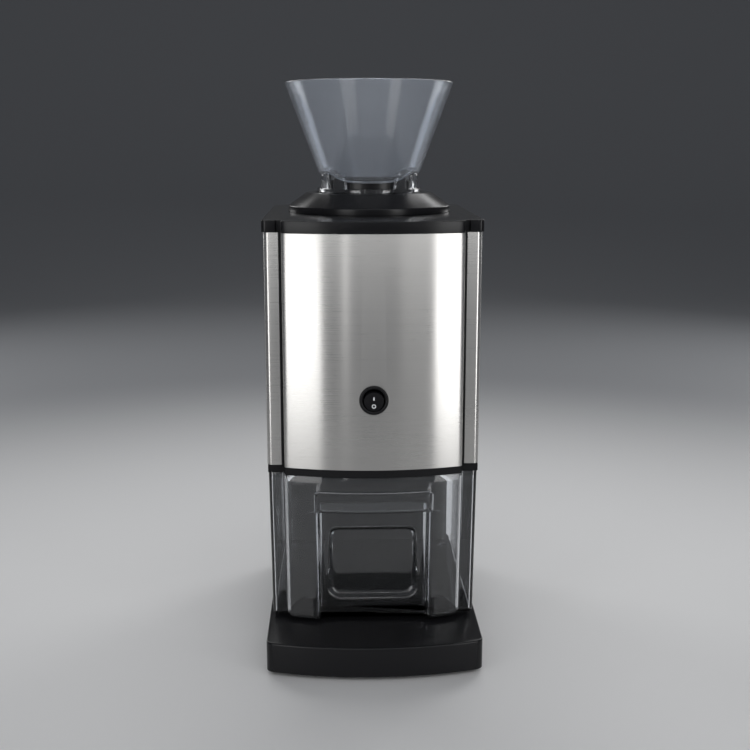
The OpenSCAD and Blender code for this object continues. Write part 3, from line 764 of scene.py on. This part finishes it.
def niche_path(z):
    """Half of the niche: its back with the pocket, its side and the pillar's corner."""
    quarter = [math.pi / 2 * k / 8 for k in range(9)]
    arc = [(NICHE_HALF - NICHE_R + NICHE_R * math.sin(a),
            niche_y - NICHE_R + NICHE_R * math.cos(a)) for a in quarter]
    back = spaced([(0, niche_y), arc[0]], 34)
    back = [Vector((p.x, p.y + panel_depth(p.x, z))) for p in back]
    edge = front_y(NICHE_HALF + CORNER_R) + CORNER_R
    side = spaced([arc[-1], (NICHE_HALF, edge)], 8)
    corner = [Vector((NICHE_HALF + CORNER_R - CORNER_R * math.cos(a),
                      edge - CORNER_R * math.sin(a) * 0.98)) for a in quarter[1:]]
    return back + [Vector(p) for p in arc[1:-1]] + side + corner


def lip_path(z):
    """The curved front over the niche; the finger lip under the band is set back."""
    count = len(niche_path(z))
    path = []
    for i in range(count):
        x = (NICHE_HALF + CORNER_R) * i / (count - 1)
        back = LIP_STEP * (1 - step_up(z, band_z - 0.5 * MM, band_z + 0.5 * MM))
        inner = 1 - step_up(x, NICHE_HALF - 0.6 * MM, NICHE_HALF + 4.2 * MM)
        path.append(Vector((x, front_y(x) + back * inner)))
    return path


def container_half(path):
    """The right half of an outline: the path, the pillar, the corner strip, the back."""
    line = [(p.x, p.y, 0) for p in path]
    for k in range(1, 9):
        x = NICHE_HALF + CORNER_R + (pillar_half - 4 * MM - NICHE_HALF - CORNER_R) * k / 8
        line.append((x, front_y(x), 0))
    line += [(pillar_half, front_y(pillar_half) + 0.2 * MM, PILLAR_R),
             (pillar_half, corner_y + STRIP_BACK, 1.6 * MM),
             (ice_high.x, corner_y + STRIP_BACK, STRIP_R),
             (ice_high.x, ice_high.y, REAR_R), (0, ice_high.y, 0)]
    return [Vector(p[:2]) for p in rounded_open(line, 7)]


# %% [markdown]
# The levels come close together where the form turns: the rounded foot, the pocket's
# ends, the niche's head and the lip. The draft makes the container narrower at the
# bottom, so that such a moulding leaves its mould. Solidify then gives the wall.

# %% Ice container: the levels, the shell and its wall
FOOT_ROUND = 3.4 * MM
DRAFT = 1.6 * MM
DRAFT_DEPTH = 5 * MM


def container_loop(z):
    """The whole outline at one height, with the foot's rounding and the draft."""
    half = container_half(niche_path(z) if z < niche_z else lip_path(z))
    loop = half + [Vector((-p.x, p.y)) for p in reversed(half[1:-1])]
    rise = min(1.0, (z - floor_z) / FOOT_ROUND)
    inset = FOOT_ROUND * (1 - math.sqrt(1 - (1 - rise) ** 2))
    down = (ice_high.z - z) / (ice_high.z - floor_z)
    middle = (ice_low.y + ice_high.y) / 2
    points = []
    for i, p in enumerate(loop):
        along = loop[(i + 1) % len(loop)] - loop[i - 1]
        inward = Vector((-along.y, along.x)).normalized()
        q = p + inward * inset
        points.append(Vector((
            q.x * (1 - DRAFT * down / ice_high.x),
            q.y + (middle - q.y) * DRAFT_DEPTH * down / (ice_high.y - ice_low.y), z)))
    return points


levels = [floor_z + FOOT_ROUND * (1 - math.cos(math.pi / 2 * k / 6)) for k in range(7)]
levels += [ice_low.z + v * MM for v in (
    6, 7.5, 9, 10, 11, 12, 13, 14, 15, 16, 17, 18.5, 20, 22, 24, 27, 31, 36, 42, 48, 54,
    60, 64, 66, 67.5, 68.5, 69.5, 70.5, 71.5, 72.5, 74, 78, 84)]
levels += [niche_z - 1.2 * MM, niche_z - 0.4 * MM, niche_z - 0.01 * MM, niche_z + 0.01 * MM,
           niche_z + 0.5 * MM, niche_z + 1.4 * MM, niche_z + 6 * MM, band_z - 3 * MM]
levels += [band_z + k * 0.25 * MM for k in range(-2, 3)]
levels += [band_z + 2 * MM, ice_high.z - 6 * MM, ice_high.z]
container = lofted("container_clear", [container_loop(z) for z in levels])
mesh = edit(container, "VERT")
for vertex in mesh.verts:
    vertex.select = vertex.co.z < floor_z + 0.00001
mesh.select_flush(True)
bmesh.update_edit_mesh(container.data)
bpy.ops.mesh.edge_face_add()
bpy.ops.mesh.select_all(action="SELECT")
bpy.ops.mesh.normals_make_consistent(inside=False)
bpy.ops.object.mode_set(mode="OBJECT")
shape(container, "SOLIDIFY", thickness=WALL, offset=-1)
clean(container, 0.000002)
round_edges(container, 0.6 * MM, lambda p, d: abs(p.z - ice_high.z) < 0.0004
            and abs(d.z) < 0.5, 2)


def container_feet():
    """Four small round feet that keep the container's floor off the base."""
    feet = []
    for x in (-1, 1):
        for y in (corner_y + 12 * MM, ice_high.y - 14 * MM):
            place = Vector((x * (ice_high.x - 12 * MM), y, ice_low.z))
            foot = rod("foot", 3.2 * MM, place, place + Vector((0, 0, FOOT)), 24)
            round_edges(foot, 0.4 * MM, lambda p, d: p.z < ice_low.z + NEAR, 3)
            feet.append(foot)
    return feet


container = gather("container_clear", [container] + container_feet())
smooth(container, 40)
hand_over(container, "container", "clear_plastic", clear_plastic, "ice_container")

# %% [markdown]
# The hopper is a clear cone over a seat: a spigot that drops into the collar, and a flat
# ring that rests on it. Cone and seat are two pieces, spun from two profiles, because the
# cone's plastic is a little milky and the seat's is not. Between them stand only the
# lugs, so the black neck ring is seen in the gaps.

# %% Hopper: the two profiles
HOPPER_WALL = 2.3 * MM
SPIGOT_R = 41.4 * MM
THROAT_R = SPIGOT_R - 2.2 * MM
RING_R = 44.4 * MM
RING_H = 3.3 * MM
NECK_R = 43.6 * MM
LIP_R = 38.3 * MM
LIP_LOW = 1.3 * MM
SEAT_GAP = 0.3 * MM
BOWL_RISE = 16.8 * MM
RIM_R = hopper_high.x
seat_z = top_z + SEAT_GAP
bowl_z = seat_z + BOWL_RISE
rim_z = hopper_high.z
bowl_line = rounded([
    (NECK_R - 0.7 * MM, bowl_z - LIP_LOW, 0.9 * MM),
    (NECK_R + 0.7 * MM, bowl_z + 1.7 * MM, 1 * MM),
    (RIM_R, rim_z, 0.9 * MM),
    (RIM_R - HOPPER_WALL, rim_z, 0.9 * MM),
    (NECK_R - HOPPER_WALL + 0.3 * MM, bowl_z + 0.9 * MM, 1.6 * MM),
    (LIP_R, bowl_z + 0.7 * MM, 0.7 * MM),
    (LIP_R, bowl_z - LIP_LOW, 0.7 * MM)], 6)
bowl = spun("hopper_clear", bowl_line, (0, AXIS_Y, 0), 192)
seat_line = rounded([
    (THROAT_R, hopper_low.z, 0.6 * MM), (SPIGOT_R, hopper_low.z, 0.6 * MM),
    (SPIGOT_R, seat_z, 0), (RING_R, seat_z, 0.8 * MM), (RING_R, seat_z + RING_H, 0.9 * MM),
    (THROAT_R, seat_z + RING_H, 0.8 * MM)], 6)
seat = spun("hopper_seat", seat_line, (0, AXIS_Y, 0), 192)

# %% [markdown]
# At the front and the back the cone runs further down than at the sides, so its lower
# edge is an arc. Each point of the cone slides down its own slope by an amount that
# depends on its angle and falls to nothing at the rim.

# %% Hopper: the arc under the cone
CONE_SLOPE = (RIM_R - NECK_R) / (rim_z - bowl_z)
DIP = 7.4 * MM
ARC_HALF = 0.785
LEVEL_OFF = 0.8


def bowl_edge(out):
    """The height of the cone's lower edge in the direction out from the axis."""
    share = (out.x / out.length / ARC_HALF) ** 4
    left = 1 - LEVEL_OFF
    if share >= LEVEL_OFF:
        share = 1 - left * math.exp(-(share - LEVEL_OFF) / left)
    return bowl_z - DIP * (1 - share)


def dip_cone(piece):
    """Slides the cone's points down their slope, most at the front and back."""
    for vertex in piece.data.vertices:
        out = Vector((vertex.co.x, vertex.co.y - AXIS_Y))
        radius, z = out.length, vertex.co.z
        edge = bowl_edge(out)
        rise = max(0, z - bowl_z)
        share = 1 - rise / (rim_z - bowl_z)
        inside = min(1, max(0, (radius - LIP_R) / (NECK_R - HOPPER_WALL - LIP_R)))
        radius += CONE_SLOPE * (edge - bowl_z) * share * inside
        out = out.normalized() * radius
        vertex.co = (out.x, AXIS_Y + out.y, z + (edge - bowl_z) * share)


# %% [markdown]
# Eight round-headed lugs stand on the ring and carry the cone. Each is drawn flat, stood
# on the ring at its angle, and given its thickness outwards.

# %% Hopper: the lugs
LUG_HALF = 6.4 * MM
LUG_FOOT_R = 40.4 * MM
LUG_T = 2.9 * MM
LUG_SUNK = 0.3 * MM
LUGS = ((37, 3.4), (62, 0.6), (118, 0.6), (143, 3.4))


def hopper_lugs():
    """For each side, LUGS has degrees from the front and millimetres under the cone."""
    lugs = []
    foot = seat_z + RING_H - LUG_SUNK
    for side in (-1, 1):
        for turn, drop in LUGS:
            angle = math.radians(side * turn)
            out = Vector((math.sin(angle), -math.cos(angle), 0))
            across = Vector((-out.y, out.x, 0))
            height = bowl_z - drop * MM - foot
            line = rounded([(-LUG_HALF, 0, 0), (LUG_HALF, 0, 0),
                            (LUG_HALF * 0.9, height, LUG_HALF * 0.8),
                            (-LUG_HALF * 0.9, height, LUG_HALF * 0.8)], 8)
            corner = Vector((0, AXIS_Y, foot)) + out * LUG_FOOT_R
            lug = plate("lug", line, lambda p: corner + across * p[0]
                        + Vector((0, 0, p[1])), out * LUG_T)
            round_edges(lug, 0.7 * MM, lambda p, d: (p - corner).dot(out) > 2 * MM, 3)
            lugs.append(lug)
    return lugs


dip_cone(bowl)
smooth(bowl, 30)
hand_over(bowl, "hopper", "clear_plastic", hopper_plastic, "hopper")
foot = gather("hopper_foot", [seat] + hopper_lugs())
smooth(foot, 30)
hand_over(foot, "hopper", "clear_plastic", clear_plastic)

# %% [markdown]
# The round rocker switch: a bezel with a turned-down edge round a deep well, and a rocker
# with a dished face. The I and the O are thin raised marks on the rocker.

# %% Switch: the bezel
BEZEL_R = switch_high.x
WELL_R = 8.7 * MM
BODY_R = 9.8 * MM
CREST = 1.9 * MM
WELL_DEPTH = 9.5 * MM
AXIS_R = 0.3 * MM
crest_y = bulge_y - 0.05 * MM
well_y = bulge_y + WELL_DEPTH
crest = [(BEZEL_R - (BEZEL_R - WELL_R) * (1 - math.cos(a)) / 2,
          crest_y - CREST * math.sin(a) ** 0.7)
         for a in (math.pi * k / 16 for k in range(17))]
bezel_line = [(AXIS_R, well_y), (WELL_R, well_y)] + crest[::-1]
bezel_line += [(BODY_R, crest_y), (BODY_R, switch_high.y), (AXIS_R, switch_high.y)]
bezel = spun("switch_bezel", bezel_line, (0, 0, switch_z), 96, "Y")
smooth(bezel)
hand_over(bezel, "housing", "switch_plastic", switch_gloss, "switch_housing")

# %% [markdown]
# The rocker is a slice of a cylinder seen end on, with a dished face. Its side view is
# drawn and given its width, then cut round. The lower half is pressed at rest, so
# everything on it is placed in tilted directions.

# %% Switch: the rocker
PIVOT_Y = bulge_y + 4 * MM
TILT = math.radians(9)
ROCKER_R = 7.7 * MM
ROCKER_FACE = 6.1
ROCKER_HALF = 7.6
DISH = 1.3
PIN_R = 1 * MM
PIN_HALF = 9.4 * MM


def rocker_face(up):
    """How far the dished face stands in front of the pivot, in millimetres."""
    return ROCKER_FACE - DISH * (1 - (up / ROCKER_HALF) ** 2)


def tilted(x, forward, up):
    """A point on the rocker, in millimetres in front of and above its pivot."""
    return Vector((x * MM,
                   PIVOT_Y - (forward * math.cos(TILT) + up * math.sin(TILT)) * MM,
                   switch_z + (up * math.cos(TILT) - forward * math.sin(TILT)) * MM))


def rocker_piece():
    """The side view in millimetres, from the heel up and down over the dished face."""
    side = [(-3, 0), (-2, 5.7), (3.2, 7.9), (ROCKER_FACE, 7.9)]
    side += [(rocker_face(up), up) for up in (ROCKER_HALF - 0.76 * k for k in range(21))]
    side += [(ROCKER_FACE, -7.9), (3.2, -7.9), (-2, -5.7)]
    piece = plate("rocker_gloss", side, lambda p: tilted(-8, *p), (16 * MM, 0, 0))
    combine(piece, rod("rocker_round", ROCKER_R, tilted(0, 12, 0), tilted(0, -12, 0), 96),
            "INTERSECT")
    round_edges(piece, 0.45 * MM,
                lambda p, d: p.y < PIVOT_Y - 3.5 * MM and abs(d.x) < 0.999, 3)
    return piece


rocker = gather("rocker_gloss", [
    rocker_piece(), rod("rocker_pin", PIN_R, (-PIN_HALF, PIVOT_Y, switch_z),
                        (PIN_HALF, PIVOT_Y, switch_z), 24)])
smooth(rocker)
hand_over(rocker, "rocker", "switch_plastic", switch_gloss, "switch_rocker")

# %% [markdown]
# The I and the O are thin plates, each laid on the slope of the face where it stands and
# sunk into it a little.

# %% Switch: the two marks
MARK_T = 0.52 * MM
MARK_SUNK = 0.30 * MM
ON_UP = 2.2
OFF_UP = -4.0
BAR_HALF = 0.48 * MM
BAR_REACH = 1.4 * MM
BAR_CORNER = 0.2 * MM
DISC_R = 1.65 * MM
HOLE_R = 1.0 * MM


def rocker_mark(name, up, line, hole=0):
    """A mark up millimetres above the rocker's middle."""
    base = tilted(0, rocker_face(up), up)
    along = (tilted(0, rocker_face(up + 0.1), up + 0.1) - base).normalized()
    out = Vector((0, along.z, -along.y))
    out = out if out.y < 0 else -out
    start = base - out * MARK_SUNK
    mark = plate(name, line, lambda p: start + Vector((p[0], 0, 0)) + along * p[1],
                 out * MARK_T)
    if hole:
        combine(mark, rod("hole", hole, start - out * MM, start + out * 2 * MM, 32),
                "DIFFERENCE")
    smooth(mark)
    hand_over(mark, "rocker", "switch_plastic", white_mark)


bar = rounded([(BAR_HALF * x, BAR_REACH * y, BAR_CORNER)
               for x, y in ((-1, -1), (1, -1), (1, 1), (-1, 1))], 3)
disc = [(DISC_R * math.cos(a), DISC_R * math.sin(a))
        for a in (math.pi * k / 20 for k in range(40))]
rocker_mark("on_mark", ON_UP, bar)
rocker_mark("off_mark", OFF_UP, disc, HOLE_R)

# %% [markdown]
# The floor's colour is painted pale round the machine and painted darker with distance from
# it, a painted pool of light, so the clear plastic has something darker behind it. It bends
# up into a wall far behind.

# %% Floor and backdrop
PAINTED_FALLOFF_START = 0.25
PAINTED_FALLOFF_END = 1.1
FLOOR_HALF = 6.0
BEND_START = 2.0
BEND = 1.5
# This group gives the painted falloff of light on the floor: 0 near the machine, 1 far from
# it.
painted_light_falloff, entry, result = new_group("painted_light_falloff", [("Start", 0.0), ("End", 1.0)],
                                         ["Fade"])
place = painted_light_falloff.nodes.new("ShaderNodeTexCoord")
reach = painted_light_falloff.nodes.new("ShaderNodeVectorMath")
reach.operation = "LENGTH"
fade = painted_light_falloff.nodes.new("ShaderNodeMapRange")
fade.interpolation_type = "SMOOTHSTEP"
painted_light_falloff.links.new(place.outputs["Object"], reach.inputs[0])
painted_light_falloff.links.new(reach.outputs["Value"], fade.inputs["Value"])
painted_light_falloff.links.new(entry.outputs["Start"], fade.inputs["From Min"])
painted_light_falloff.links.new(entry.outputs["End"], fade.inputs["From Max"])
painted_light_falloff.links.new(fade.outputs["Result"], result.inputs["Fade"])
only(None)
bpy.ops.mesh.primitive_grid_add(x_subdivisions=1, y_subdivisions=40)
sweep = [(-FLOOR_HALF, 0.0), (BEND_START, 0.0)]
sweep += [(BEND_START + BEND * math.sin(a), BEND - BEND * math.cos(a))
          for a in (math.pi * k / 72 for k in range(1, 37))]
sweep += [(BEND_START + BEND, BEND * k) for k in (2, 3, 4)]
for vertex in bpy.context.object.data.vertices:
    row, side = divmod(vertex.index, 2)
    y, z = sweep[row]
    vertex.co = (FLOOR_HALF * (2 * side - 1), y, z)
floor = settle("floor")
smooth(floor, 60)
floor_finish = Finish("pale_floor", (0.62, 0.62, 0.62), 0.0, 0.6)
group = floor_finish.add(painted_light_falloff, Start=PAINTED_FALLOFF_START, End=PAINTED_FALLOFF_END)
# Painted light: the floor's colour runs from pale near the machine to dark far off, a
# painted pool of light and its falloff.
floor_finish.tone(group.outputs["Fade"], (0.76, 0.76, 0.76), (0.20, 0.205, 0.215), 0.0, 1.0)
dress(floor, floor_finish.material)

# %% [markdown]
# The light is soft. A pale sky fills everywhere, but the camera sees it as dark as the
# far floor, so no horizon shows. The Standard view transform keeps the black plastic
# black.

# %% Sky
bpy.context.scene.view_settings.view_transform = "Standard"
world = bpy.data.worlds.new("studio_sky")
bpy.context.scene.world = world
world.use_nodes = True
sky = world.node_tree.nodes["Background"]
sky.inputs["Color"].default_value = (0.86, 0.89, 0.95, 1)
sky.inputs["Strength"].default_value = 0.22
seen = world.node_tree.nodes.new("ShaderNodeBackground")
seen.inputs["Color"].default_value = (0.052, 0.054, 0.058, 1)
either = world.node_tree.nodes.new("ShaderNodeMixShader")
rays = world.node_tree.nodes.new("ShaderNodeLightPath")
world.node_tree.links.new(rays.outputs["Is Camera Ray"], either.inputs["Fac"])
world.node_tree.links.new(sky.outputs["Background"], either.inputs[1])
world.node_tree.links.new(seen.outputs["Background"], either.inputs[2])
world.node_tree.links.new(either.outputs["Shader"],
                          world.node_tree.nodes["World Output"].inputs["Surface"])

# %% [markdown]
# Eight panels light the machine. Two narrow ones close to the front draw the bright bands
# on the steel, and a strip and a glow further off draw the fine one and the soft one
# between them. Two wide panels, high in front and high behind, light the black plastic
# and the hopper, and one on each side behind draws the edges. None is seen by the
# camera, and the high ones are not seen through the clear plastic either.

# %% Lights
HIGH = 1.0


def soft_panel(name, turn, away, height, width, tall, power, spread=180, aim=0.25):
    """A light that faces the height aim on the axis, turn degrees round from the front."""
    angle = math.radians(turn)
    place = Vector((away * math.sin(angle), -away * math.cos(angle), height))
    bpy.ops.object.light_add(type="AREA", location=place)
    lamp = bpy.context.object
    lamp.name = name
    lamp.visible_camera = False
    lamp.visible_transmission = height < HIGH
    lamp.data.shape = "RECTANGLE"
    lamp.data.size = width
    lamp.data.size_y = tall
    lamp.data.energy = power
    lamp.data.spread = math.radians(spread)
    way = Vector((0, 0, aim)) - place
    lamp.rotation_mode = "QUATERNION"
    lamp.rotation_quaternion = way.to_track_quat("-Z", "Y")


NEAR_LIGHT = {"away": 0.58, "height": 0.40, "tall": 0.80, "spread": 90, "aim": 0.40}
FAR_LIGHT = {"away": 1.6, "height": 0.6, "tall": 1.2}
RIM_LIGHT = {"away": 1.6, "height": 0.9, "tall": 1.0, "width": 0.6, "power": 6}
soft_panel("left_panel", turn=-33, width=0.22, power=0.40, **NEAR_LIGHT)
soft_panel("right_panel", turn=38, width=0.17, power=0.38, **NEAR_LIGHT)
soft_panel("left_strip", turn=-11, width=0.06, power=0.30, **FAR_LIGHT)
soft_panel("right_glow", turn=20, width=0.34, power=0.35, **FAR_LIGHT)
soft_panel("front_veil", turn=5, away=2.2, height=1.85, width=2.4, tall=0.7, power=14)
soft_panel("over_panel", turn=175, away=1.3, height=1.6, width=1.5, tall=0.9, power=11)
soft_panel("rim_left", turn=-140, **RIM_LIGHT)
soft_panel("rim_right", turn=140, **RIM_LIGHT)

# %% [markdown]
# The CAD nodes that are already right keep their shape and take a finish of this machine.

# %% Finishes of the carried-over nodes
KEPT = {
    black_inner: ["chassis_tray", "rear_column"],
    black_satin: ["back_cover"],
    black_under: ["base_bottom_plate"],
    rubber: ["rubber_feet", "cord_gland", "shaft_seal"],
    zinc: ["base_screws", "case_screws", "motor_screws", "drum_screws", "idler_clip"],
    cast_alloy: ["crusher_drum", "gearbox_housing", "gearbox_cover"],
    blade_steel: ["fixed_blades", "rotor_blades", "rotor_nut", "crusher_shaft",
                  "motor_shaft", "idler_axle"],
    grey_plastic: ["ice_chute", "cooling_fan"],
    bronze: ["shaft_bushes", "motor_bushes", "switch_terminals", "motor_pinion"],
    motor_steel: ["motor_can", "motor_end_cap", "field_stack"],
    copper_winding: ["armature"],
    gear_nylon: ["output_gear", "idler_gear"],
    switch_gloss: ["container_interlock", "hopper_interlock"],
    plunger_red: ["container_plunger", "hopper_plunger"],
}
for material, nodes in KEPT.items():
    for node in nodes:
        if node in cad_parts:
            dress(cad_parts[node], material)
